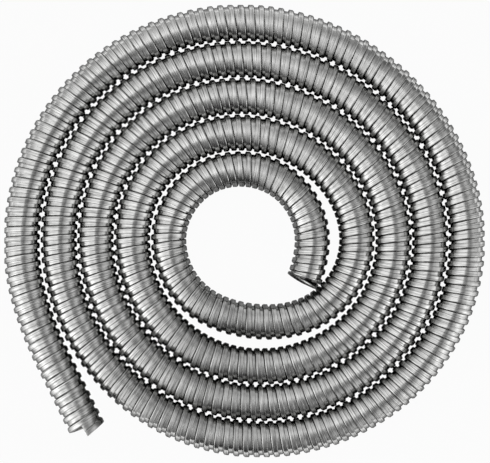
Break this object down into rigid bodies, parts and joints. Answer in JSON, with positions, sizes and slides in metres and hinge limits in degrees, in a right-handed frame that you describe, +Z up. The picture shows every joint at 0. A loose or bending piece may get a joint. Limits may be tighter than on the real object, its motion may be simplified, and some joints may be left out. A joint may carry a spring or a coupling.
{
  "type": "flexible metal conduit",
  "caption": "Strip-wound flexible stainless conduit for cables, a ribbed metal tube lying in a flat spiral coil, open and cut square at both ends.",
  "frame": {"origin": "middle of the coil's footprint, on the surface that it lies on", "axes": "+Z up out of the coil, +X across the coil's widest way, +Y across it the other way; both cut ends face roughly towards -Y"},
  "size_m": [0.3302, 0.311, 0.0245],
  "materials": {
    "stainless_strip": "bright rolled stainless strip, lightly brushed along its length"
  },
  "bodies": {
    "root": {"conduit": "stainless_strip"}
  },
  "joints": []
}
